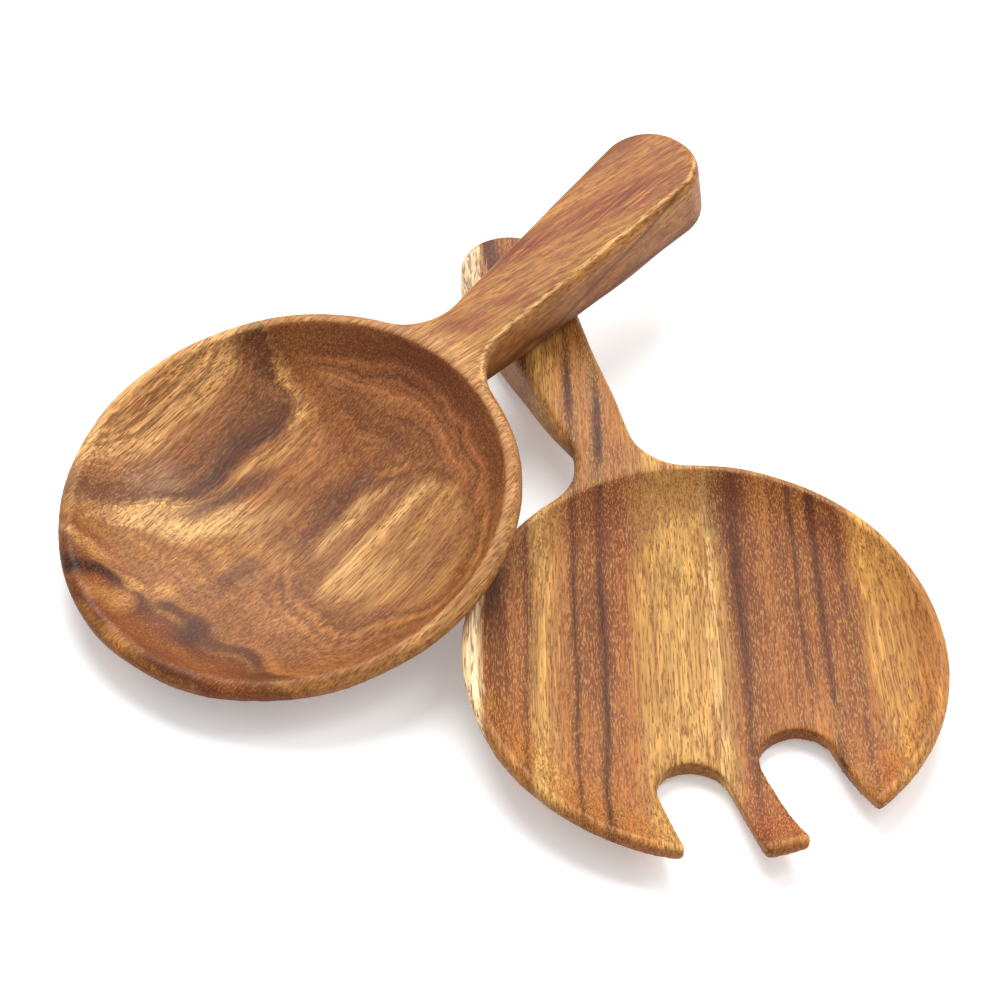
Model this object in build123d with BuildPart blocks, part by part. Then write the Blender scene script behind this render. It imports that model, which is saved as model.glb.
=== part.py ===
from build123d import *
import os
from math import acos, asin, atan2, cos, degrees, hypot, isclose, radians, sin, sqrt, tan

# A pair of carved wooden salad servers, in millimetres. The fork rests on the belly of its dish and on the
# heel of its handle. The spoon rests on the belly of its bowl and across the fork's handle.
# Each server is carved in a frame of its own: the bowl's centre on the rim plane is the origin, +X runs along
# the handle to its end, and +Z points out of the hollow. Then it is laid down in the frame of the pair.

# Plan outline of both servers: lengths along the handle are taken from the bowl's edge
bowl_radius = 61.0
handle_length = 98.0
neck_length = 12.0
neck_fillet = 15.0
end_flat = 1.0
handle_bury = 15.0

# The handle's flat top bends down from the rim plane at the bowl's edge
droop_angle = 4.5
droop_bend = 150.0

# Rounded lower edges of the handles, and how deep the handles start inside the bellies
heel_round = 4.0
root_sink = 1.5

# Spoon: belly, rim, hollow, neck, and the depths of the handle's underside below the rim plane
spoon_depth = 22.5
spoon_rim = 3.8
spoon_rim_round = 3.0
spoon_rim_width = 4.0
spoon_dish_depth = 16.0
spoon_cove = 13.0
spoon_floor_sag = 7.0
spoon_neck_width = 19.4
spoon_grip_width = 30.0
spoon_neck_side = -1.6
spoon_neck_depth = 16.2
spoon_mid_depth = 23.2
spoon_end_depth = 28.0

# Fork: the same sizes, for a shallower server
fork_depth = 15.5
fork_rim = 3.4
fork_rim_round = 2.4
fork_rim_width = 2.4
fork_dish_depth = 9.5
fork_cove = 12.6
fork_floor_sag = 4.5
fork_neck_width = 17.4
fork_grip_width = 28.4
fork_neck_side = 0.6
fork_neck_depth = 7.4
fork_mid_depth = 21.4
fork_end_depth = 28.0

# Slots that leave the fork's three tines. The middle tine stands a little to the left of the handle's line
tine_offset = 3.0
tine_width = 9.8
tine_flare = 2.2
tip_round = 1.8
left_slot_width = 17.8
left_slot_depth = 35.0
left_slot_flare = 3.2
right_slot_width = 18.6
right_slot_depth = 36.4
right_slot_flare = 3.4

# How the pair lies: the headings of the handles, how much further from its bowl the fork's handle is crossed
# than the spoon's, and the clearances between the two
spoon_heading = 48.2
fork_heading = 109.5
crossing_lead = 28.2
rim_gap = 0.9
rest_gap = 0.1
foot_flat = 0.4

# Stations along a server's own X axis
handle_reach = bowl_radius + handle_length
neck_station = bowl_radius + neck_length
handle_root = bowl_radius - handle_bury

# Sizes that go together: the handle's widths at neck and end, and its underside's depths at neck, middle and end
spoon_widths = (spoon_neck_width, spoon_grip_width)
spoon_under = (spoon_neck_depth, spoon_mid_depth, spoon_end_depth)
fork_widths = (fork_neck_width, fork_grip_width)
fork_under = (fork_neck_depth, fork_mid_depth, fork_end_depth)


def top_drop(station):
    """How far the handle's top lies below the rim plane, at a station past the bend."""
    bend_run = droop_bend * sin(radians(droop_angle))
    bend_drop = droop_bend * (1 - cos(radians(droop_angle)))
    return bend_drop + (station - bowl_radius - bend_run) * tan(radians(droop_angle))


def under_pull(neck_depth, mid_depth, end_depth):
    """Depth of the middle control point of the parabola that the handle's underside follows."""
    return 2 * mid_depth - (neck_depth + end_depth) / 2


def under_drop(station, neck_depth, mid_depth, end_depth):
    """How far the handle's underside lies below the rim plane, at a station between neck and end."""
    share = (station - neck_station) / (handle_reach - neck_station)
    pull = under_pull(neck_depth, mid_depth, end_depth)
    return (1 - share) ** 2 * neck_depth + 2 * share * (1 - share) * pull + share**2 * end_depth


def belly_radius(depth, rim):
    """Radius of the round belly, which ends at the rim's lower edge."""
    rise = depth - rim
    return (bowl_radius**2 + rise**2) / (2 * rise)


def half_width(station, neck_width, grip_width):
    """Half the handle's width, on its straight taper."""
    taper = (grip_width - neck_width) / (handle_reach - neck_station)
    return (neck_width + taper * (station - neck_station)) / 2


def draw_handle(neck_side, neck_width, grip_width):
    """Plan of a handle, which widens from its root under the bowl to a round end."""
    root_side = neck_side * (handle_reach - handle_root) / (handle_reach - neck_station)
    root_half = half_width(handle_root, neck_width, grip_width)
    end_half = grip_width / 2
    with BuildSketch() as plan:
        with BuildLine():
            Polyline(
                (handle_root, root_side + root_half),
                (handle_reach, end_half),
                (handle_reach, -end_half),
                (handle_root, root_side - root_half),
                close=True,
            )
        make_face()
        slant = atan2(end_half - root_half + abs(root_side), handle_reach - handle_root)
        end_round = (end_half - end_flat / 2) * tan(radians(45) - slant / 2)
        fillet(plan.vertices().group_by(Axis.X)[-1], end_round)
    return plan.sketch


def shape_handle(plan, belly_drop, neck_depth, mid_depth, end_depth):
    """A handle with a level top: its underside leaves the belly, hollows under the neck and swells to the heel."""
    with BuildPart() as handle:
        with BuildSketch(Plane.XZ):
            with BuildLine():
                middle = (neck_station + handle_reach) / 2
                pull = under_pull(neck_depth, mid_depth, end_depth)
                under = Bezier((neck_station, -neck_depth), (middle, -pull), (handle_reach, -end_depth))
                root = (handle_root, root_sink - belly_drop)
                root_run = (neck_station - handle_root) / 2
                neck_bend = under @ 0 - (under % 0) * root_run
                throat = Bezier(root, neck_bend, under @ 0)
                Polyline(under @ 1, (handle_reach, 0), (handle_root, 0), throat @ 0)
            make_face()
        extrude(amount=bowl_radius, both=True)
        add(extrude(plan, amount=-2 * end_depth, mode=Mode.PRIVATE), mode=Mode.INTERSECT)
        lower_edges = handle.faces().sort_by(Axis.Z)[0].edges().filter_by(Axis.Y, reverse=True)
        fillet(lower_edges, heel_round)
    return handle.part


def carve_blank(depth, rim, rim_round, neck_side, widths, under_depths):
    """A server before it is hollowed: a flange in the plan's outline, a belly and a handle."""
    handle_plan = draw_handle(neck_side, *widths)
    with BuildSketch() as plan:
        add(handle_plan)
        Circle(bowl_radius)
        corners = plan.vertices().filter_by(lambda corner: corner.X < bowl_radius)
        fillet(corners, neck_fillet)

    belly = belly_radius(depth, rim)
    belly_drop = depth - belly + sqrt(belly**2 - handle_root**2)
    handle = shape_handle(handle_plan, belly_drop, *under_depths)

    with BuildPart() as blank:
        add(extrude(plan.sketch, amount=-rim, mode=Mode.PRIVATE))
        with BuildSketch(Plane.XZ):
            with BuildLine():
                belly = TangentArc((0, -depth), (bowl_radius, -rim), tangent=(1, 0))
                Polyline(belly @ 1, (0, -rim), belly @ 0)
            make_face()
        revolve(axis=Axis.Z)
        add(handle)
        with BuildSketch(Plane.XZ):
            with BuildLine():
                flat = Line((handle_root, 0), (bowl_radius, 0))
                bend = JernArc(flat @ 1, flat % 1, droop_bend, -droop_angle)
                past_end = handle_reach + bowl_radius
                slope = Line(bend @ 1, (past_end, -top_drop(past_end)))
                Polyline(slope @ 1, (past_end, rim), (handle_root, rim), flat @ 0)
            make_face()
        extrude(amount=bowl_radius, both=True, mode=Mode.SUBTRACT)
        upper_faces = blank.faces().filter_by(lambda face: face.normal_at().Z > cos(radians(2 * droop_angle)))
        upper_edges = upper_faces.edges().filter_by(Axis.Y, reverse=True)
        fillet(upper_edges, rim_round)
    return blank.part


def draw_hollow(rim_width, cove, dish_depth, floor_sag):
    """Half section of a hollow: a gently curved floor and a tighter cove up to the rim."""
    dish_radius = bowl_radius - rim_width
    floor_edge = (dish_radius - cove, floor_sag - dish_depth)
    with BuildSketch(Plane.XZ) as profile:
        with BuildLine():
            floor = TangentArc((0, -dish_depth), floor_edge, tangent=(1, 0))
            side = TangentArc(floor @ 1, (dish_radius, 0), tangent=floor % 1)
            Polyline(side @ 1, (dish_radius, dish_depth), (0, dish_depth), floor @ 0)
        make_face()
    return profile.sketch


with BuildPart() as spoon_carving:
    add(carve_blank(spoon_depth, spoon_rim, spoon_rim_round, spoon_neck_side, spoon_widths, spoon_under))
    add(draw_hollow(spoon_rim_width, spoon_cove, spoon_dish_depth, spoon_floor_sag))
    revolve(axis=Axis.Z, mode=Mode.SUBTRACT)

with BuildPart() as fork_carving:
    add(carve_blank(fork_depth, fork_rim, fork_rim_round, fork_neck_side, fork_widths, fork_under))
    add(draw_hollow(fork_rim_width, fork_cove, fork_dish_depth, fork_floor_sag))
    revolve(axis=Axis.Z, mode=Mode.SUBTRACT)

    # The slots and a strip outside the rim are cut away together, so that the tips come out rounded
    mouth = bowl_radius + tine_width
    strip_half = tine_width + left_slot_width + right_slot_width
    with BuildSketch(Plane.XY.offset(-fork_depth)) as gaps:
        Circle(mouth)
        Circle(bowl_radius, mode=Mode.SUBTRACT)
        with Locations((-mouth, 0)):
            Rectangle(2 * bowl_radius, 2 * strip_half, mode=Mode.INTERSECT)
        left_slot = (1, left_slot_width, left_slot_depth, left_slot_flare)
        right_slot = (-1, right_slot_width, right_slot_depth, right_slot_flare)
        for side, width, depth, flare in (left_slot, right_slot):
            near = tine_offset + side * tine_width / 2
            far = near + side * width
            top = depth - bowl_radius
            root = top - width / 2
            with BuildLine():
                bottom = ThreePointArc((root, near), (top, (near + far) / 2), (root, far))
                inner = TangentArc(bottom @ 0, (-mouth, near + side * tine_flare), tangent=(-1, 0))
                outer = TangentArc(bottom @ 1, (-mouth, far + side * flare), tangent=(-1, 0))
                Line(inner @ 1, outer @ 1)
            make_face()
        on_rim = gaps.vertices().filter_by(lambda tip: isclose(hypot(tip.X, tip.Y), bowl_radius, rel_tol=1e-6))
        fillet(on_rim.sort_by(Axis.Y)[1:-1], tip_round)
    extrude(amount=2 * fork_depth, mode=Mode.SUBTRACT)


def settle(reach, drop, height, belly, depth):
    """Tilt in degrees that brings a point of a server to a height while its belly stays on the floor."""
    lever = belly - depth + drop
    return degrees(asin((height - belly) / hypot(reach, lever)) + atan2(lever, reach))


def rim_height(tilt, belly, depth):
    """Height of the bowl's centre, on the rim plane, over the floor."""
    return belly - (belly - depth) * cos(radians(tilt))


def lay_down(tilt, heading, height, run):
    """Plane of a server at rest, with its bowl's centre a level run short of where the handles cross."""
    turn = radians(heading)
    lift = radians(tilt)
    return Plane(
        origin=(-run * cos(turn), -run * sin(turn), height - foot_flat),
        x_dir=(cos(lift) * cos(turn), cos(lift) * sin(turn), sin(lift)),
        z_dir=(-sin(lift) * cos(turn), -sin(lift) * sin(turn), cos(lift)),
    )


# The fork stands on its belly and on the rounded heel at the end of its handle
fork_belly = belly_radius(fork_depth, fork_rim)
heel_station = handle_reach - heel_round
heel_drop = under_drop(heel_station, *fork_under) - heel_round
fork_tilt = settle(heel_station, heel_drop, heel_round, fork_belly, fork_depth)
fork_height = rim_height(fork_tilt, fork_belly, fork_depth)

# The spoon stands on its belly, lies across the fork's handle and clears the fork's rim. Its tilt and the
# distance between the bowls depend on each other, so both are found together in a few passes
spoon_belly = belly_radius(spoon_depth, spoon_rim)
spoon_tilt = fork_tilt
spoon_seat = spoon_neck_depth
crossing_angle = radians(fork_heading - spoon_heading)
facing = crossing_angle
lip_radius = bowl_radius - fork_rim_round
for _ in range(12):
    # The belly's axis stands clear of the fork's rounded lip, on the side that faces it
    axis_back = (spoon_belly - spoon_depth) * sin(radians(spoon_tilt))
    lip_height = fork_height + lip_radius * cos(facing) * sin(radians(fork_tilt)) - fork_rim_round
    lip_reach = spoon_belly + fork_rim_round + rim_gap
    apart = lip_radius + sqrt(lip_reach**2 - (spoon_belly - lip_height) ** 2)
    lead = crossing_lead - axis_back
    axis_run = sqrt(lead**2 / 4 + (apart**2 - lead**2) / (2 - 2 * cos(crossing_angle))) - lead / 2
    spoon_run = axis_run - axis_back
    fork_run = spoon_run + crossing_lead
    facing = acos((fork_run - axis_run * cos(crossing_angle)) / apart)

    # The handles' faces lean, so their gap is taken at the corner of the crossing where they come closest
    fork_station = fork_run / cos(radians(fork_tilt))
    spoon_station = (spoon_run - spoon_seat * sin(radians(spoon_tilt))) / cos(radians(spoon_tilt))
    spoon_seat = under_drop(spoon_station, *spoon_under)
    spoon_slope = degrees(atan2(under_drop(spoon_station + 1, *spoon_under) - spoon_seat, 1))
    fork_half = half_width(fork_station, *fork_widths)
    spoon_half = half_width(spoon_station, *spoon_widths)
    fork_span = spoon_half + fork_half * abs(cos(crossing_angle))
    spoon_span = fork_half + spoon_half * abs(cos(crossing_angle))
    fork_lean = fork_span * tan(radians(abs(fork_tilt - droop_angle)))
    spoon_lean = spoon_span * tan(radians(abs(spoon_tilt - spoon_slope)))
    seat_height = fork_height + fork_station * sin(radians(fork_tilt)) - top_drop(fork_station)
    seat_height += rest_gap + (fork_lean + spoon_lean) / sin(crossing_angle)
    spoon_tilt = settle(spoon_station, spoon_seat, seat_height, spoon_belly, spoon_depth)

spoon_height = rim_height(spoon_tilt, spoon_belly, spoon_depth)
fork_plane = lay_down(fork_tilt, fork_heading, fork_height, fork_run)
spoon_plane = lay_down(spoon_tilt, spoon_heading, spoon_height, spoon_run)

# The middle of the pair's box comes over the origin
pair = Compound([spoon_carving.part.moved(spoon_plane.location), fork_carving.part.moved(fork_plane.location)])
middle = pair.bounding_box().center()
to_middle = Location((-middle.X, -middle.Y, 0))

# Each belly and the fork's heel are sanded flat where they stand
with BuildPart() as salad_spoon:
    add(spoon_carving.part.moved(to_middle * spoon_plane.location))
    split(bisect_by=Plane.XY)

with BuildPart() as salad_fork:
    add(fork_carving.part.moved(to_middle * fork_plane.location))
    split(bisect_by=Plane.XY)

os.makedirs("parts", exist_ok=True)
salad_spoon.part.label = "salad_spoon"
export_step(salad_spoon.part, "parts/salad_spoon.step")
salad_fork.part.label = "salad_fork"
export_step(salad_fork.part, "parts/salad_fork.step")
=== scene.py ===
import bmesh
import bpy
from math import cos, pi, radians, sin
from mathutils import Matrix, noise


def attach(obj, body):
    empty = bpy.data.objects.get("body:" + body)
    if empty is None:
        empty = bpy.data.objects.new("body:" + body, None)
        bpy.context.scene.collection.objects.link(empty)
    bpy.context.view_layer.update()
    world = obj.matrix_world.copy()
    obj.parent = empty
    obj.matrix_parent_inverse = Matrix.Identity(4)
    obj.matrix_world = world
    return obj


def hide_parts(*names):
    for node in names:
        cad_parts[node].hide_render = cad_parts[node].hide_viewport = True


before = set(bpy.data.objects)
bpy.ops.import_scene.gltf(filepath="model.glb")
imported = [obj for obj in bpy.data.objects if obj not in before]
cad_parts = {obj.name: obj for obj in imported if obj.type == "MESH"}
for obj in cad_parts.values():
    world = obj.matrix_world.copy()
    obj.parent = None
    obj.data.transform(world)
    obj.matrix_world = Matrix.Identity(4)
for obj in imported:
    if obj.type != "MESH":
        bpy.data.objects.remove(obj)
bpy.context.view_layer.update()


# Salad fork: a shallow round dish with two slots that leave three tines, and a short thick handle.
# One board of acacia, sawn so that the stripes of the heartwood run askew along the handle.
# It is carved, sanded until every edge is soft, and oiled. It lies on the table.
def soften(node, name, voxel, passes, ripple, ripple_size):
    """A copy of a carved solid with hand-sanded edges and the slight unevenness of hand work."""
    piece = bpy.data.objects.new(name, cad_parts[node].data.copy())
    bpy.context.scene.collection.objects.link(piece)
    carving = bmesh.new()
    carving.from_mesh(piece.data)
    bmesh.ops.remove_doubles(carving, verts=carving.verts, dist=1e-6)
    carving.to_mesh(piece.data)
    carving.free()
    sanding = piece.modifiers.new("even_skin", "REMESH")
    sanding.mode = "VOXEL"
    sanding.voxel_size = voxel
    graph = bpy.context.evaluated_depsgraph_get()
    skin = bpy.data.meshes.new_from_object(piece.evaluated_get(graph))
    piece.modifiers.clear()
    piece.data = skin
    skin.name = name
    carving = bmesh.new()
    carving.from_mesh(skin)
    for _ in range(passes):
        bmesh.ops.smooth_vert(
            carving, verts=carving.verts, factor=0.5,
            use_axis_x=True, use_axis_y=True, use_axis_z=True,
        )
    carving.normal_update()
    for vert in carving.verts:
        vert.co += vert.normal * ripple * noise.noise(vert.co / ripple_size)
    for face in carving.faces:
        face.smooth = True
    carving.to_mesh(skin)
    carving.free()
    skin.materials.clear()
    return piece


def linear(srgb_hex):
    """An sRGB hex colour as linear RGBA."""
    channels = [int(srgb_hex[i:i + 2], 16) / 255 for i in (1, 3, 5)]
    return [c / 12.92 if c <= 0.04045 else ((c + 0.055) / 1.055) ** 2.4 for c in channels] + [1.0]


def add_node(tree, kind, sockets=None, **settings):
    """A shader node with its settings. A socket is fed by a node, by an output, or by a plain value."""
    made = tree.nodes.new("ShaderNode" + kind)
    for key, value in settings.items():
        setattr(made, key, value)
    for key, value in (sockets or {}).items():
        if isinstance(value, bpy.types.Node):
            value = next(out for out in value.outputs if out.enabled)
        if isinstance(value, bpy.types.NodeSocket):
            tree.links.new(value, made.inputs[key])
        else:
            made.inputs[key].default_value = value
    return made


def set_bands(ramp_node, low, high, bands):
    """Colours of a ramp, given at places between low and high, in millimetres unless said otherwise."""
    ramp = ramp_node.color_ramp
    while len(ramp.elements) < len(bands):
        ramp.elements.new(1.0)
    for stop, (place, colour) in zip(ramp.elements, bands):
        stop.position = (place - low) / (high - low)
        stop.color = linear(colour)


def patch(wood, coords, colour, place, size, tint, strength, turn):
    """An oval of another tint, soft at its edge, laid on the colour so far. Strength may be a node."""
    through_board = 1000
    oval = add_node(
        wood, "Mapping",
        {"Vector": coords, "Location": (*place, 0), "Rotation": (0, 0, radians(turn)),
         "Scale": (*size, through_board)},
        vector_type="TEXTURE",
    )
    reach = add_node(wood, "VectorMath", {0: oval}, operation="LENGTH")
    inside = add_node(
        wood, "MapRange",
        {"Value": reach.outputs["Value"], "From Min": 1.0, "From Max": 0.2, "To Max": strength},
        interpolation_type="SMOOTHSTEP",
    )
    return add_node(wood, "Mix", {0: inside, 6: colour, 7: linear(tint)}, data_type="RGBA")


def oil_finish(
    wood, coords, local, grain, colour, fibre_line, rim_inside, rim_end, rim_pale_and_highlight, fleck_share, streak_share
):
    """Fibres, pores, a paler rim with a painted highlight, and the satin sheen of oil, over the colour of
    the figure.
    """
    # Millimetres along and across the grain. Fibres and pores are drawn 0.4 mm wide, twice the real
    # width, so that they show
    noises = {}
    for name, length, width, detail, roughness in (
        ("fibre", 14, 0.4, 2.0, 0.6), ("streak", 45, 1.1, 3.0, 0.5), ("mottle", 22, 9, 1.0, 0.5),
        ("pore", 4.5, 0.4, 1.0, 0.5), ("fleck", 1.7, 0.34, 1.0, 0.5),
    ):
        stretched = add_node(
            wood, "Mapping", {"Vector": grain, "Scale": (1 / length, 1 / width, 1 / width)}
        )
        noises[name] = add_node(
            wood, "TexNoise",
            {"Vector": stretched, "Scale": 1.0, "Detail": detail, "Roughness": roughness},
        )
    shade = add_node(wood, "Math", {0: noises["fibre"], 1: 1.7, 2: -0.1}, operation="MULTIPLY_ADD")
    streak = add_node(wood, "Math", {0: noises["streak"], 1: 0.5}, operation="SUBTRACT")
    shade = add_node(wood, "Math", {0: streak, 1: streak_share, 2: shade}, operation="MULTIPLY_ADD")
    shade = add_node(wood, "Math", {0: noises["mottle"], 1: 0.5, 2: shade}, operation="MULTIPLY_ADD")
    # End grain drinks more oil, so walls that cut across the fibres are darker
    facing = add_node(
        wood, "VectorMath", {0: coords.outputs["Normal"], 1: fibre_line}, operation="DOT_PRODUCT"
    )
    facing = add_node(wood, "Math", {0: facing.outputs["Value"]}, operation="ABSOLUTE")
    end_grain = add_node(
        wood, "MapRange",
        {"Value": facing, "From Min": 0.35, "From Max": 0.95, "To Min": 1.0, "To Max": 0.42},
        interpolation_type="SMOOTHSTEP",
    )
    shade = add_node(wood, "Math", {0: shade, 1: end_grain}, operation="MULTIPLY")
    # The rim's top is painted paler than the hollow: partly paler sanded wood, partly a painted highlight
    # where the flat top catches the light. It fades out at the neck and at the lip
    flat = add_node(wood, "VectorMath", {0: local, 1: (1, 1, 0)}, operation="MULTIPLY")
    out = add_node(wood, "VectorMath", {0: flat}, operation="LENGTH")
    rim = add_node(
        wood, "MapRange",
        {"Value": out.outputs["Value"], "From Min": rim_inside - 0.3, "From Max": rim_inside + 0.3},
    )
    off_neck = add_node(
        wood, "MapRange",
        {"Value": out.outputs["Value"], "From Min": 61.0, "From Max": 68.0, "To Min": 1.0, "To Max": 0.0},
    )
    spot = add_node(wood, "SeparateXYZ", {"Vector": local})
    upper = add_node(wood, "MapRange", {"Value": spot.outputs["Z"], "From Min": -4.0, "From Max": -2.0})
    off_lip = add_node(
        wood, "MapRange", {"Value": spot.outputs["X"], "From Min": rim_end, "From Max": rim_end + 30}
    )
    for limit in (off_neck, upper, off_lip):
        rim = add_node(wood, "Math", {0: rim, 1: limit}, operation="MULTIPLY")
    # Pale gold, brightened by a fifth: paler sanded wood plus a painted highlight on the rim's top
    pale = add_node(wood, "Mix", {0: rim_pale_and_highlight, 6: colour, 7: linear("#c9a060")}, data_type="RGBA")
    pale = add_node(wood, "VectorMath", {0: pale, 1: (1.2, 1.2, 1.2)}, operation="MULTIPLY")
    rim_paled_and_highlit = add_node(wood, "Mix", {0: rim, 6: colour, 7: pale}, data_type="RGBA")
    # Dark fibres turn red-brown, and light ones keep the hue of the figure
    deep = add_node(wood, "MapRange", {"Value": shade, "From Min": 1.0, "From Max": 0.4, "To Max": 0.75})
    toned = add_node(wood, "Mix", {0: deep, 6: rim_paled_and_highlit, 7: linear("#662c12")}, data_type="RGBA")
    bright = add_node(wood, "Math", {0: shade, 1: 1.0}, operation="MAXIMUM")
    toned = add_node(wood, "VectorMath", {0: toned, 1: bright}, operation="MULTIPLY")
    depth = add_node(wood, "RGBToBW", {"Color": toned})
    # Open pores are dark dashes
    pore = add_node(
        wood, "MapRange", {"Value": noises["pore"], "From Min": 0.43, "From Max": 0.38, "To Max": 0.7}
    )
    pored = add_node(wood, "Mix", {0: pore, 6: toned, 7: linear("#723416")}, data_type="RGBA")
    # In the dark bands pale gum fills the pores, so they show as close light flecks
    fleck = add_node(wood, "MapRange", {"Value": noises["fleck"], "From Min": 0.54, "From Max": 0.60})
    in_dark = add_node(
        wood, "MapRange", {"Value": depth, "From Min": 0.22, "From Max": 0.10, "To Max": fleck_share}
    )
    not_black = add_node(
        wood, "MapRange", {"Value": depth, "From Min": 0.03, "From Max": 0.08, "To Min": 0.2}
    )
    for limit in (in_dark, not_black):
        fleck = add_node(wood, "Math", {0: fleck, 1: limit}, operation="MULTIPLY")
    flecked = add_node(wood, "Mix", {0: fleck, 6: pored, 7: linear("#b98445")}, data_type="RGBA")
    relief = add_node(wood, "Math", {0: noises["fibre"], 1: 0.5}, operation="MULTIPLY")
    relief = add_node(wood, "Math", {0: relief, 1: pore}, operation="SUBTRACT")
    bump = add_node(wood, "Bump", {"Strength": 0.35, "Distance": 0.0001, "Height": relief})
    rough = add_node(wood, "MapRange", {"Value": noises["fibre"], "To Min": 0.40, "To Max": 0.58})
    finish = wood.nodes["Principled BSDF"]
    wood.links.new(flecked.outputs[2], finish.inputs["Base Color"])
    wood.links.new(rough.outputs[0], finish.inputs["Roughness"])
    wood.links.new(bump.outputs[0], finish.inputs["Normal"])
    finish.inputs["IOR"].default_value = 1.46
    finish.inputs["Specular IOR Level"].default_value = 0.2


# Where the fork lies: the middle of its rim, and how its handle is tipped and turned
fork_at = (0.05284, -0.05463, 0.01551)
fork_tilt = radians(4.34)
fork_heading = radians(109.5)

# Oiled acacia heartwood: straight stripes from gold to red-brown, thin dark growth lines, short dark
# pores in the gold, light flecks in the brown, a strip of cream sapwood, and the soft sheen of oil
acacia_fork = bpy.data.materials.new("oiled_acacia_striped")
acacia_fork.use_nodes = True
wood = acacia_fork.node_tree
coords = add_node(wood, "TexCoord")
# Millimetres in the fork's own frame: x along the handle, y to its left, z out of the dish
local = add_node(
    wood, "Mapping",
    {"Vector": coords.outputs["Object"], "Location": fork_at, "Rotation": (0, -fork_tilt, fork_heading),
     "Scale": (0.001, 0.001, 0.001)},
    vector_type="TEXTURE",
)
axes = add_node(wood, "SeparateXYZ", {"Vector": local})
# Stripes run askew to the handle and fan out: across = y + x (askew + fan_out y + fan_bend y y)
askew, fan_out, fan_bend = 0.34, 0.00085, -0.000018
fan = add_node(wood, "Math", {0: axes.outputs["Y"], 1: fan_bend, 2: fan_out}, operation="MULTIPLY_ADD")
fan = add_node(wood, "Math", {0: axes.outputs["Y"], 1: fan, 2: askew}, operation="MULTIPLY_ADD")
across = add_node(
    wood, "Math", {0: axes.outputs["X"], 1: fan, 2: axes.outputs["Y"]}, operation="MULTIPLY_ADD"
)
along = add_node(
    wood, "Math", {0: axes.outputs["Y"], 1: -0.3, 2: axes.outputs["X"]}, operation="MULTIPLY_ADD"
)
grain = add_node(wood, "CombineXYZ", {"X": along, "Y": across, "Z": axes.outputs["Z"]})
# The stripes wander a little, and their edges break up into a fringe along the fibres
wander_at = add_node(wood, "Mapping", {"Vector": grain, "Scale": (1 / 60, 1 / 14, 1 / 14)})
wander = add_node(wood, "TexNoise", {"Vector": wander_at, "Scale": 1.0, "Detail": 2.0})
fringe_at = add_node(wood, "Mapping", {"Vector": grain, "Scale": (1 / 26, 1 / 1.3, 1 / 1.3)})
fringe = add_node(wood, "TexNoise", {"Vector": fringe_at, "Scale": 1.0, "Detail": 2.0})
# Half of each swing is taken off again, and the board's width is brought to the range 0 to 1
board_half = 64
board = 2 * board_half
wander_swing, fringe_swing, line_swing = 5.0, 6.0, 0.8
steady = add_node(wood, "Math", {0: wander, 1: wander_swing, 2: across}, operation="MULTIPLY_ADD")
drift = add_node(wood, "Math", {0: fringe, 1: fringe_swing, 2: steady}, operation="MULTIPLY_ADD")
middle = 0.5 - (wander_swing + fringe_swing) / 2 / board
share = add_node(wood, "Math", {0: drift, 1: 1 / board, 2: middle}, operation="MULTIPLY_ADD")
stripes = add_node(wood, "ValToRGB", {"Fac": share})
set_bands(stripes, -board_half, board_half, [
    (-60, "#8a5421"), (-46, "#af7e39"), (-43, "#8d5a25"), (-40, "#6c3818"), (-35, "#75421d"),
    (-31, "#77441d"), (-26, "#72401d"), (-24, "#6a3919"), (-21, "#8c5828"), (-17, "#713e1d"),
    (-13, "#623415"), (-10, "#6d3e1d"), (-5, "#ad8245"), (-3.4, "#cba262"), (-2, "#a8793d"),
    (3, "#b08645"), (15, "#a87b3d"), (20, "#824821"), (25, "#6d3e1d"), (30, "#72401d"),
    (35, "#7f4e24"), (38, "#9c6a35"), (43.5, "#b28747"), (47, "#7c4b22"), (50.5, "#82502a"),
    (54, "#492412"), (57, "#402010"), (58, "#82552a"), (60, "#d3b78f"),
])
# Thin dark growth lines, each a dip of the tone 2 to 4 mm wide
line_drift = add_node(wood, "Math", {0: fringe, 1: line_swing, 2: steady}, operation="MULTIPLY_ADD")
middle = 0.5 - (wander_swing + line_swing) / 2 / board
line_share = add_node(wood, "Math", {0: line_drift, 1: 1 / board, 2: middle}, operation="MULTIPLY_ADD")
growth_lines = add_node(wood, "ValToRGB", {"Fac": line_share})
dips = []
for place, reach, tone in (
    (-40.5, 1.6, "#c9c1ba"), (-33.7, 1.7, "#7d6858"), (-28.2, 1.2, "#9c8d82"), (-12, 2.4, "#9c897a"),
    (26.5, 2.2, "#6d5b4c"), (34, 1.8, "#897767"), (47, 1.6, "#af9e91"),
):
    dips += [(place - reach, "#ffffff"), (place, tone), (place + reach, "#ffffff")]
set_bands(growth_lines, -board_half, board_half, dips)
# Towards the tines the dark stripes fade to orange
to_tines = add_node(wood, "MapRange", {"Value": along, "From Min": 20.0, "From Max": -40.0, "To Max": 0.7})
stripes = add_node(
    wood, "Mix", {0: to_tines, 6: stripes, 7: linear("#9c622a")}, data_type="RGBA", blend_type="LIGHTEN"
)
colour = add_node(wood, "VectorMath", {0: stripes, 1: growth_lines}, operation="MULTIPLY")
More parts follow.
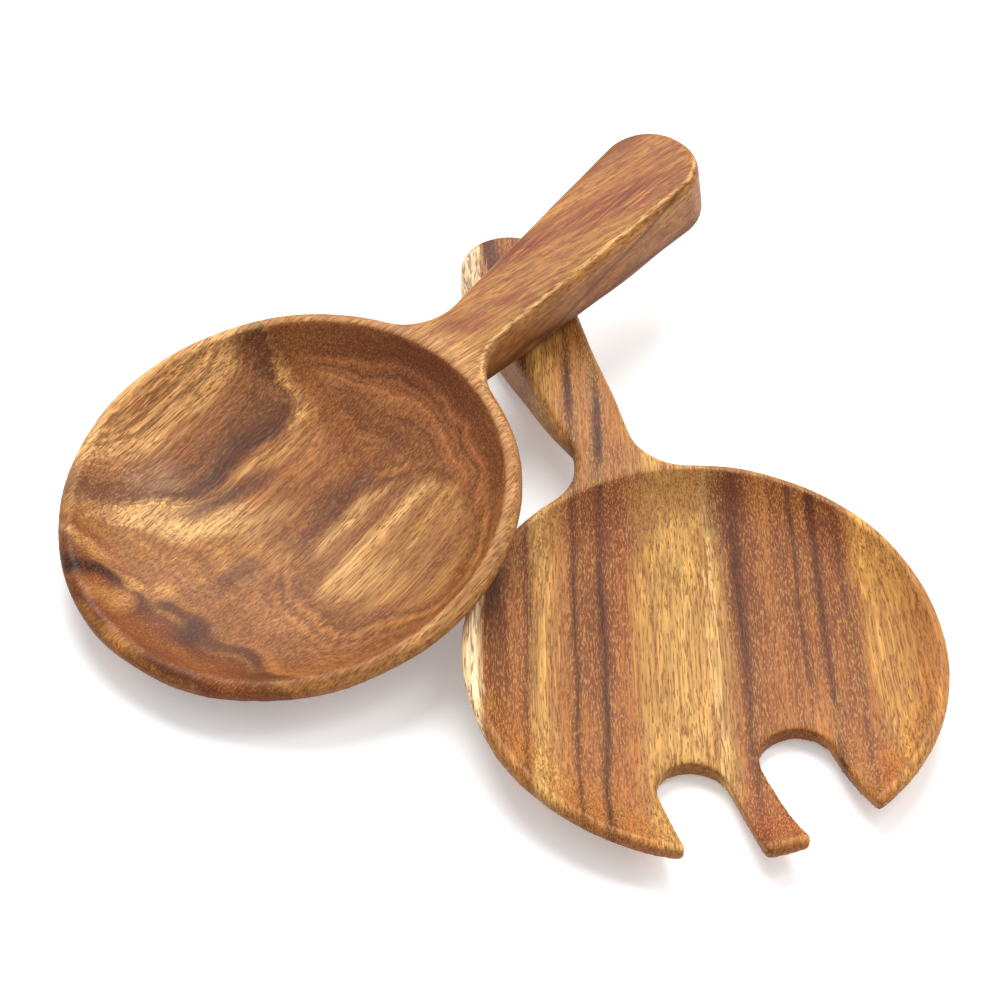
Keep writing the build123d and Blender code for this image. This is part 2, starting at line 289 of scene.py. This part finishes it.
# Patches where the wood is darker, redder or paler, with blurred edges
blot_at = add_node(wood, "Mapping", {"Vector": grain, "Scale": (1 / 30, 1 / 6, 1 / 6)})
blot = add_node(wood, "TexNoise", {"Vector": blot_at, "Scale": 1.0, "Detail": 2.0})
centred = (0.5, 0.5, 0.5)
blot_push = add_node(wood, "VectorMath", {0: blot.outputs["Color"], 1: centred}, operation="SUBTRACT")
blurred = add_node(wood, "VectorMath", {0: blot_push, 1: (22, 10, 0), 2: local}, operation="MULTIPLY_ADD")
for spot, size, tint, strength, turn in (
    ((44, -23), (20, 8), "#44230f", 0.75, -17), ((44, 8), (18, 12), "#6f3616", 0.3, -17),
    ((-52, 2), (16, 9), "#7d3713", 0.7, -10), ((-46, -30), (14, 6), "#96491a", 0.6, -15),
    ((-50, 34), (12, 7), "#8a4218", 0.6, -15), ((32, -46), (24, 8), "#5e2b14", 0.65, -15),
    ((53, 0), (14, 44), "#5e3018", 0.5, 0), ((98, 0), (46, 40), "#b58446", 0.3, 0),
    ((10, 25), (22, 8), "#54290f", 0.45, -18), ((-25, -22), (14, 5), "#ad7136", 0.5, -17),
):
    colour = patch(wood, blurred, colour, spot, size, tint, strength, turn)
# Some growth lines are sharp and dark: two over the neck and into the dish, and one by the right rim
for spot, size, tint, strength, turn in (
    ((77, -0.2), (32, 1.9), "#2e140a", 0.92, -19), ((93, 2.4), (26, 1.9), "#2a1209", 0.92, -18.5),
    ((46, 10.2), (12, 1.6), "#54290f", 0.5, -19), ((47, 17.7), (11, 1.3), "#54290f", 0.6, -20),
    ((36, -43.6), (22, 1.7), "#331809", 0.75, -14),
):
    colour = patch(wood, local, colour, spot, size, tint, strength, turn)
oil_finish(
    wood, coords, local, grain, colour, fibre_line=(0, 1, 0.08),
    rim_inside=58.4, rim_end=-95, rim_pale_and_highlight=0.15, fleck_share=0.6, streak_share=2.0,
)

salad_fork = soften(
    "salad_fork", "salad_fork_carved", voxel=0.0007, passes=3, ripple=0.0004, ripple_size=0.02
)
salad_fork.data.materials.append(acacia_fork)
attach(salad_fork, "fork")
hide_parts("salad_fork")


# Salad spoon: a deep round bowl with a soft rim, and a short thick handle that widens to a round end.
# One board of acacia with two eyes of pale wood and a knot near the lip, so the dark bands swirl.
# It is carved and oiled like the fork, and lies across the fork's handle.
spoon_at = (-0.05354, -0.00893, 0.02352)
spoon_tilt = radians(10.41)
spoon_heading = radians(48.2)

# Oiled acacia from beside a branch: brown bands that swirl round pale streaked eyes, a black and orange
# knot, a handle of plain gold with fine red lines, and the same pores, flecks and sheen as the fork
acacia_spoon = bpy.data.materials.new("oiled_acacia_swirled")
acacia_spoon.use_nodes = True
wood = acacia_spoon.node_tree
coords = add_node(wood, "TexCoord")
# Millimetres in the spoon's own frame: x along the handle, y to its left, z out of the bowl
local = add_node(
    wood, "Mapping",
    {"Vector": coords.outputs["Object"], "Location": spoon_at,
     "Rotation": (0, -spoon_tilt, spoon_heading), "Scale": (0.001, 0.001, 0.001)},
    vector_type="TEXTURE",
)
straight = add_node(wood, "SeparateXYZ", {"Vector": local})
# The bands wander, and their edges break up into fingers along the fibres
swirl_at = add_node(wood, "Mapping", {"Vector": local, "Scale": (1 / 24, 1 / 18, 1 / 18)})
swirl = add_node(wood, "TexNoise", {"Vector": swirl_at, "Scale": 1.0, "Detail": 2.0})
finger_at = add_node(wood, "Mapping", {"Vector": local, "Scale": (1 / 20, 1 / 1.2, 1 / 1.2)})
finger = add_node(wood, "TexNoise", {"Vector": finger_at, "Scale": 1.0, "Detail": 2.0})
swirl_push = add_node(wood, "VectorMath", {0: swirl.outputs["Color"], 1: centred}, operation="SUBTRACT")
finger_push = add_node(wood, "VectorMath", {0: finger.outputs["Color"], 1: centred}, operation="SUBTRACT")
swirled = add_node(wood, "VectorMath", {0: swirl_push, 1: (14, 13, 0), 2: local}, operation="MULTIPLY_ADD")
warped = add_node(
    wood, "VectorMath", {0: finger_push, 1: (6, 2.5, 0), 2: swirled}, operation="MULTIPLY_ADD"
)
axes = add_node(wood, "SeparateXYZ", {"Vector": warped})

# The bowl cuts the growth rings in a saddle, with nested bands on both sides of its middle and others
# towards the lip and the handle. The middle is level from x = -2 to x = 12, and towards the handle the
# bands bend away ever faster
lip_side = add_node(
    wood, "MapRange",
    {"Value": axes.outputs["X"], "From Min": -62.0, "From Max": -2.0, "To Min": -77.0, "To Max": 0.0},
)
from_level = add_node(
    wood, "MapRange",
    {"Value": axes.outputs["X"], "From Min": 12.0, "From Max": 62.0, "To Min": 0.0, "To Max": 50.0},
)
grip_side = add_node(wood, "Math", {0: from_level, 1: 2.0}, operation="POWER")
grip_side = add_node(wood, "Math", {0: grip_side, 1: 0.06}, operation="MULTIPLY")
endwise = add_node(wood, "Math", {0: lip_side, 1: grip_side}, operation="ADD")
endwise_sq = add_node(wood, "Math", {0: endwise, 1: endwise}, operation="MULTIPLY")
sidewise = add_node(wood, "Math", {0: axes.outputs["Y"], 1: -3.0}, operation="ADD")
sidewise_sq = add_node(wood, "Math", {0: sidewise, 1: sidewise}, operation="MULTIPLY")
saddle = add_node(wood, "Math", {0: sidewise_sq, 1: endwise_sq}, operation="SUBTRACT")
saddle_size = add_node(wood, "Math", {0: saddle}, operation="ABSOLUTE")
reach = add_node(wood, "Math", {0: saddle_size}, operation="SQRT")
side_sign = add_node(wood, "Math", {0: sidewise}, operation="SIGN")
end_sign = add_node(wood, "Math", {0: endwise}, operation="SIGN")
side_reach = add_node(wood, "Math", {0: side_sign, 1: reach}, operation="MULTIPLY")
end_reach = add_node(wood, "Math", {0: end_sign, 1: reach}, operation="MULTIPLY")
side_share = add_node(wood, "MapRange", {"Value": side_reach, "From Min": -16.0, "From Max": 64.0})
side_bands = add_node(wood, "ValToRGB", {"Fac": side_share})
set_bands(side_bands, -16, 64, [
    (-12, "#895b34"), (-9.5, "#aa7e4d"), (-7.5, "#573726"), (-5, "#583827"), (-1, "#673e25"),
    (3, "#75472c"), (6, "#7d4e2b"), (9, "#9d6739"), (12, "#925f35"), (15, "#ac7a43"),
    (18, "#bf8e54"), (20.5, "#a3723f"), (22.5, "#66412a"), (25, "#4d3121"), (28, "#573824"),
    (32, "#6b452a"), (36, "#805132"), (40, "#96683e"), (45, "#c6955c"), (54, "#af7c4a"),
])
end_share = add_node(wood, "MapRange", {"Value": end_reach, "From Min": -80.0, "From Max": 16.0})
end_bands = add_node(wood, "ValToRGB", {"Fac": end_share})
set_bands(end_bands, -80, 16, [
    (-60, "#774720"), (-40, "#7d4e24"), (-32, "#94642e"), (-27, "#815125"), (-21, "#9b6a35"),
    (-16, "#8d5d2d"), (-10, "#9f6f37"), (-4, "#94642f"), (0, "#885629"), (8, "#7b4820"),
])
towards_side = add_node(
    wood, "MapRange", {"Value": saddle, "From Min": -70.0, "From Max": 70.0},
    interpolation_type="SMOOTHSTEP",
)
bowl = add_node(wood, "Mix", {0: towards_side, 6: end_bands, 7: side_bands}, data_type="RGBA")
# Below the middle the rings close round a pale eye. Their places are in shares of the eye's radius
eye_at = add_node(
    wood, "Mapping", {"Vector": warped, "Location": (8, -27, 0), "Scale": (23, 21, 1000)},
    vector_type="TEXTURE",
)
eye_far = add_node(wood, "VectorMath", {0: eye_at}, operation="LENGTH")
ring_share = add_node(
    wood, "MapRange", {"Value": eye_far.outputs["Value"], "From Min": 0.8, "From Max": 2.8}
)
ring_bands = add_node(wood, "ValToRGB", {"Fac": ring_share})
set_bands(ring_bands, 0.8, 2.8, [
    (0.95, "#7b4d28"), (1.08, "#693e21"), (1.22, "#8a5a2e"), (1.4, "#764724"), (1.6, "#84542b"),
    (1.85, "#6e4020"), (2.1, "#7e4c21"),
])
# The eye itself is streaked along the fibres
eye_share = add_node(wood, "MapRange", {"Value": axes.outputs["Y"], "From Min": -56.0, "From Max": 0.0})
eye_streaks = add_node(wood, "ValToRGB", {"Fac": eye_share})
set_bands(eye_streaks, -56, 0, [
    (-52, "#6c4223"), (-48, "#885a31"), (-44, "#9f703c"), (-41, "#764b2a"), (-37, "#a77843"),
    (-33, "#7f542e"), (-29, "#af8047"), (-26, "#885f35"), (-22, "#a77843"), (-19.5, "#bf925b"),
    (-17.5, "#9b7140"), (-15, "#734a2b"), (-12, "#845834"), (-9, "#bf925b"), (-7, "#9b7142"),
    (-5, "#543524"),
])
in_eye = add_node(
    wood, "MapRange", {"Value": eye_far.outputs["Value"], "From Min": 1.12, "From Max": 0.9},
    interpolation_type="SMOOTHSTEP",
)
lower = add_node(wood, "Mix", {0: in_eye, 6: ring_bands, 7: eye_streaks}, data_type="RGBA")
to_lower = add_node(wood, "MapRange", {"Value": axes.outputs["Y"], "From Min": -3.0, "From Max": -7.0})
bowl = add_node(wood, "Mix", {0: to_lower, 6: bowl, 7: lower}, data_type="RGBA")
# On the wall by the handle the bands are rings round the bowl
round_at = add_node(wood, "VectorMath", {0: swirled, 1: (1, 1, 0)}, operation="MULTIPLY")
round_far = add_node(wood, "VectorMath", {0: round_at}, operation="LENGTH")
wall_share = add_node(
    wood, "MapRange", {"Value": round_far.outputs["Value"], "From Min": 26.0, "From Max": 60.0}
)
wall_bands = add_node(wood, "ValToRGB", {"Fac": wall_share})
set_bands(wall_bands, 26, 60, [
    (28, "#764a29"), (32, "#966439"), (34.5, "#56321d"), (38, "#6d4226"), (41, "#76482a"),
    (44, "#8f5a35"), (47, "#7b492a"), (50, "#86512e"), (53, "#62361d"), (58, "#84522d"),
])
wall_back = add_node(
    wood, "MapRange",
    {"Value": axes.outputs["Y"], "From Min": 20.0, "From Max": 60.0, "To Min": 0.0, "To Max": 20.0},
)
wall_from = add_node(wood, "Math", {0: axes.outputs["X"], 1: wall_back}, operation="SUBTRACT")
to_wall = add_node(
    wood, "MapRange", {"Value": wall_from, "From Min": 27.0, "From Max": 38.0},
    interpolation_type="SMOOTHSTEP",
)
bowl = add_node(wood, "Mix", {0: to_wall, 6: bowl, 7: wall_bands}, data_type="RGBA")
# Towards the lip the bands run across the spoon, round a knot
across_lip = add_node(wood, "SeparateXYZ", {"Vector": swirled})
lip_share = add_node(
    wood, "MapRange", {"Value": across_lip.outputs["X"], "From Min": -64.0, "From Max": -24.0}
)
lip_bands = add_node(wood, "ValToRGB", {"Fac": lip_share})
set_bands(lip_bands, -64, -24, [
    (-62, "#75461e"), (-59, "#825526"), (-57, "#562c12"), (-54, "#6a3718"), (-51, "#77441d"),
    (-48, "#653417"), (-45.5, "#5a2e12"), (-43.5, "#91602c"), (-41, "#723d1b"), (-38, "#8e5e2b"),
    (-35, "#794720"), (-30, "#91622f"),
])
to_lip = add_node(
    wood, "MapRange", {"Value": across_lip.outputs["X"], "From Min": -32.0, "From Max": -40.0},
    interpolation_type="SMOOTHSTEP",
)
colour = add_node(wood, "Mix", {0: to_lip, 6: bowl, 7: lip_bands}, data_type="RGBA")
# Broad patches with fingered edges, where the rings thin out or crowd
for spot, size, tint, strength, turn in (
    ((-19, 25), (32, 9), "#cda064", 0.9, -49), ((-4, 10), (17, 5), "#bd8f56", 0.55, -28),
    ((-9, -4), (6, 12), "#a87846", 0.4, -20), ((-24, -16), (16, 14), "#98663a", 0.4, 0),
    ((-3, -25), (12, 14), "#c1955e", 0.5, 0), ((18, -40), (16, 9), "#7f5230", 0.55, 0),
    ((-25, -45), (20, 15), "#85522d", 0.5, 0), ((-21, 1), (18, 6), "#5f3a24", 0.9, -8),
    ((15, -3), (26, 4.5), "#573628", 0.8, 0), ((6, 28.5), (22, 4), "#3f2b22", 0.85, -4),
    ((-6, 21), (24, 5), "#4f3021", 0.95, -30), ((33, 44), (8, 14), "#55321f", 0.75, 14),
    ((-31, 46), (17, 4), "#704a31", 0.7, -32), ((-14, 41), (12, 8), "#a98a68", 0.35, -30),
    ((51, 5), (6, 18), "#5f331d", 0.6, 0), ((-33, 12), (8, 14), "#8f5d36", 0.6, 20),
    ((27, 32), (5, 11), "#7f5531", 0.55, 0), ((-31, -29), (4.5, 17), "#653a20", 0.55, 8),
    ((-17, -11), (4, 11), "#6d4226", 0.5, 30), ((-24, -22), (5, 13), "#a87541", 0.5, 12),
    ((-17, -50), (14, 5), "#653a20", 0.5, -12), ((-13, -33), (3.5, 12), "#71462a", 0.5, 14),
):
    colour = patch(wood, warped, colour, spot, size, tint, strength, turn)
# Fine growth lines, 1 to 2 mm apart, follow the bands, except in the lower eye and at the lip
lines = []
for place, per_unit, detail in (
    (side_reach, 0.7, 3.0), (end_reach, 0.6, 3.0), (eye_far.outputs["Value"], 11.0, 3.0),
    (round_far.outputs["Value"], 0.55, 2.0),
):
    lines.append(add_node(
        wood, "TexNoise", {"W": place, "Scale": per_unit, "Detail": detail}, noise_dimensions="1D"
    ))
side_lines, end_lines, ring_lines, wall_lines = lines
fine = add_node(wood, "Mix", {0: towards_side, 2: end_lines, 3: side_lines}, data_type="FLOAT")
fine = add_node(wood, "Mix", {0: to_lower, 2: fine, 3: ring_lines}, data_type="FLOAT")
fine = add_node(wood, "Mix", {0: to_wall, 2: fine, 3: wall_lines}, data_type="FLOAT")
fine = add_node(
    wood, "MapRange",
    {"Value": fine, "From Min": 0.25, "From Max": 0.75, "To Min": 0.6, "To Max": 1.36},
)
plain = add_node(wood, "Math", {0: in_eye, 1: to_lower}, operation="MULTIPLY")
plain = add_node(wood, "Math", {0: plain, 1: to_lip}, operation="MAXIMUM")
fine = add_node(wood, "Mix", {0: plain, 2: fine, 3: 1.0}, data_type="FLOAT")
colour = add_node(wood, "VectorMath", {0: colour, 1: fine}, operation="MULTIPLY")
# The knot at the lip: a black core, a dark wavy edge below it and golden islands
for spot, size, tint, strength, turn in (
    ((-40, 31), (2.4, 17), "#85492a", 0.7, 17), ((-43, 34), (2.2, 13), "#b98a4f", 0.7, 15),
    ((-47, 28), (3.8, 12), "#150c08", 1.0, 17), ((-46, 12), (3.4, 10), "#47260f", 0.85, -6),
    ((-42, 4), (3.4, 10), "#44240f", 0.9, 12), ((-43, -8), (8, 11), "#34190f", 0.95, 0),
    ((-42, -22), (3.8, 14), "#3a1d0e", 0.9, 0), ((-43, -35), (3.8, 11), "#341a0d", 0.9, 12),
    ((-50, 17), (6, 7), "#b07c42", 0.9, 0), ((-43, 18), (3, 6), "#bd8845", 0.8, 0),
    ((-39, 11), (6, 6), "#c08b4c", 0.8, 0), ((-57, 5), (4, 9), "#bd8040", 0.8, 0),
    ((-56, -14), (2.4, 14), "#4a2715", 0.7, -4),
):
    colour = patch(wood, swirled, colour, spot, size, tint, strength, turn)
# The handle's broad streaks run askew over its top and lengthwise on its sides
skew = add_node(wood, "Math", {0: axes.outputs["X"], 1: 0.27, 2: -27.0}, operation="MULTIPLY_ADD")
skew = add_node(wood, "Math", {0: axes.outputs["Y"], 1: skew}, operation="ADD")
skew = add_node(wood, "Math", {0: axes.outputs["Z"], 1: 1.5, 2: skew}, operation="MULTIPLY_ADD")
skew_share = add_node(wood, "MapRange", {"Value": skew, "From Min": -60.0, "From Max": 36.0})
grip_bands = add_node(wood, "ValToRGB", {"Fac": skew_share})
set_bands(grip_bands, -60, 36, [
    (-58, "#7a4e25"), (-48, "#85562f"), (-40, "#7f522c"), (-36.5, "#512f18"), (-33, "#7f522c"),
    (-24, "#8a5b2e"), (-16, "#95662e"), (-8, "#8d5b28"), (-2, "#93622c"), (3, "#8a5526"),
    (9, "#95622d"), (13, "#7f4c22"), (17, "#6b3d1b"), (20, "#875726"), (26, "#74441f"),
])
to_grip = add_node(
    wood, "MapRange", {"Value": axes.outputs["X"], "From Min": 54.0, "From Max": 64.0},
    interpolation_type="SMOOTHSTEP",
)
colour = add_node(wood, "Mix", {0: to_grip, 6: colour, 7: grip_bands}, data_type="RGBA")
# Sheaves of fine red lines, each line 0.5 to 1 mm wide, lie askew on the handle
sheaf_at = add_node(
    wood, "Mapping",
    {"Vector": local, "Rotation": (0, 0, radians(8)), "Scale": (1 / 26, 1 / 0.9, 1 / 4)},
)
sheaf = add_node(wood, "TexNoise", {"Vector": sheaf_at, "Scale": 1.0, "Detail": 2.0})
red_lines = add_node(wood, "MapRange", {"Value": sheaf, "From Min": 0.38, "From Max": 0.52})
for spot, size, tint, turn in (
    ((130, -3.5), (28, 7), "#6a2410", -16), ((98, 6.5), (20, 5), "#6a2410", -14),
    ((69, 0), (14, 4.5), "#7f3f1c", -36), ((84, -4.5), (8, 3.5), "#7f3f1c", -40),
):
    colour = patch(wood, local, colour, spot, size, tint, red_lines, turn)
# A thin dark line rises along the handle's right-hand wall towards its end
right_hand = (sin(spoon_heading), -cos(spoon_heading), 0)
lean_out = add_node(
    wood, "VectorMath", {0: coords.outputs["Normal"], 1: right_hand}, operation="DOT_PRODUCT"
)
on_wall = add_node(
    wood, "MapRange", {"Value": lean_out.outputs["Value"], "From Min": 0.5, "From Max": 0.7}
)
line_slope, line_start = 0.145, -27.8
rise = add_node(
    wood, "Math", {0: axes.outputs["X"], 1: -line_slope, 2: axes.outputs["Z"]}, operation="MULTIPLY_ADD"
)
rise = add_node(wood, "Math", {0: rise, 1: line_start}, operation="SUBTRACT")
rise = add_node(wood, "Math", {0: rise}, operation="ABSOLUTE")
wall_line = add_node(wood, "MapRange", {"Value": rise, "From Min": 1.1, "From Max": 0.2, "To Max": 0.7})
for limit in (on_wall, to_grip):
    wall_line = add_node(wood, "Math", {0: wall_line, 1: limit}, operation="MULTIPLY")
colour = add_node(wood, "Mix", {0: wall_line, 6: colour, 7: linear("#3f2212")}, data_type="RGBA")
# A painted highlight: a pale cream line along the right-hand edge of the handle's top, where the rounded
# edge catches the light
off_edge = add_node(wood, "Math", {0: lean_out.outputs["Value"], 1: 0.45}, operation="SUBTRACT")
off_edge = add_node(wood, "Math", {0: off_edge}, operation="ABSOLUTE")
painted_edge_highlight = add_node(wood, "MapRange", {"Value": off_edge, "From Min": 0.22, "From Max": 0.05, "To Max": 0.45})
facing = add_node(wood, "SeparateXYZ", {"Vector": coords.outputs["Normal"]})
topside = add_node(wood, "MapRange", {"Value": facing.outputs["Z"], "From Min": 0.3, "From Max": 0.6})
for limit in (topside, to_grip):
    painted_edge_highlight = add_node(wood, "Math", {0: painted_edge_highlight, 1: limit}, operation="MULTIPLY")
colour = add_node(wood, "Mix", {0: painted_edge_highlight, 6: colour, 7: linear("#deb884")}, data_type="RGBA")
# The fibres follow the bowl's length, and run askew in the handle
lean = add_node(
    wood, "MapRange",
    {"Value": straight.outputs["X"], "From Min": 46.0, "From Max": 160.0, "To Min": 0.0, "To Max": 22.8},
)
leaning = add_node(wood, "Math", {0: straight.outputs["Y"], 1: lean}, operation="ADD")
grain = add_node(
    wood, "CombineXYZ", {"X": straight.outputs["X"], "Y": leaning, "Z": straight.outputs["Z"]}
)
# The handle has long streaks and hardly any flecks
flecks = add_node(wood, "MapRange", {"Value": to_grip, "To Min": 0.35, "To Max": 0.08})
streaks = add_node(wood, "MapRange", {"Value": to_grip, "To Min": 1.8, "To Max": 2.4})
spoon_turn = Matrix.Rotation(spoon_heading, 4, "Z") @ Matrix.Rotation(-spoon_tilt, 4, "Y")
oil_finish(
    wood, coords, local, grain, colour, fibre_line=spoon_turn.col[0].xyz,
    rim_inside=57.0, rim_end=-50, rim_pale_and_highlight=0.25, fleck_share=flecks, streak_share=streaks,
)

salad_spoon = soften(
    "salad_spoon", "salad_spoon_carved", voxel=0.0007, passes=3, ripple=0.0004, ripple_size=0.02
)
# Hand sanding has run the rim into the hollow at the lip
lip_from, lip_lowest = -0.02, -0.006
rim_inner, rim_outer = 0.05, 0.0605
lip_passes = 25
to_spoon = (Matrix.Translation(spoon_at) @ spoon_turn).inverted()
sanded = bmesh.new()
sanded.from_mesh(salad_spoon.data)
lip_edge = []
for vert in sanded.verts:
    here = to_spoon @ vert.co
    if here.x < lip_from and here.z > lip_lowest and rim_inner < here.xy.length < rim_outer:
        lip_edge.append(vert)
for _ in range(lip_passes):
    bmesh.ops.smooth_vert(
        sanded, verts=lip_edge, factor=0.5, use_axis_x=True, use_axis_y=True, use_axis_z=True
    )
sanded.to_mesh(salad_spoon.data)
sanded.free()
salad_spoon.data.materials.append(acacia_spoon)
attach(salad_spoon, "spoon")
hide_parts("salad_spoon")


# Table: a plain white sweep of studio paper, lying flat under the pair.
# It is far wider than the camera sees, so that no edge shows from the side.
floor_size = 40
bpy.ops.mesh.primitive_plane_add(size=floor_size)
table = bpy.context.object
table.name = "studio_floor"
# White uncoated paper: matt, without gloss, and lit until only the soft shadows are grey
paper = bpy.data.materials.new("white_paper")
paper.use_nodes = True
matt = paper.node_tree.nodes["Principled BSDF"].inputs
matt["Base Color"].default_value = linear("#f4f4f4")
matt["Roughness"].default_value = 0.9
matt["Emission Color"].default_value = linear("#ffffff")
matt["Emission Strength"].default_value = 0.22
table.data.materials.append(paper)

# Studio light: a large soft box overhead and a little behind, and a strip on the right.
# An even white room fills the shadows.
for name, shape, size, energy, lamp_at in (
    ("soft_box", "DISK", (1.2, 1.2), 25, (-0.05, 0.85, 1.1)),
    ("strip_right", "RECTANGLE", (0.3, 1.0), 5, (0.85, 0.1, 0.9)),
):
    lamp_data = bpy.data.lights.new(name, "AREA")
    lamp_data.shape = shape
    lamp_data.size, lamp_data.size_y = size
    lamp_data.energy = energy
    lamp = bpy.data.objects.new(name, lamp_data)
    lamp.location = lamp_at
    lamp.rotation_euler = (-lamp.location).to_track_quat("-Z", "Y").to_euler()
    bpy.context.scene.collection.objects.link(lamp)
room = bpy.data.worlds.new("white_room")
room.use_nodes = True
room.node_tree.nodes["Background"].inputs["Color"].default_value = linear("#ffffff")
room.node_tree.nodes["Background"].inputs["Strength"].default_value = 0.68
bpy.context.scene.world = room

# Camera: the photograph's view, 46 degrees down on the pair through a longish lens.
# It looks straight over the table's y axis at a point a little behind the middle of the pair.
camera_pitch = radians(46.423)
camera_range = 0.76249
aim_x, aim_y = 0.00154, 0.01087
camera_data = bpy.data.cameras.new("camera")
camera = bpy.data.objects.new("camera", camera_data)
camera.location = (aim_x, aim_y - camera_range * cos(camera_pitch), camera_range * sin(camera_pitch))
camera.rotation_euler = (pi / 2 - camera_pitch, 0, 0)
camera_data.sensor_width = 36
camera_data.angle = radians(20)
bpy.context.scene.collection.objects.link(camera)
bpy.context.scene.camera = camera
bpy.context.scene.view_settings.view_transform = "Standard"
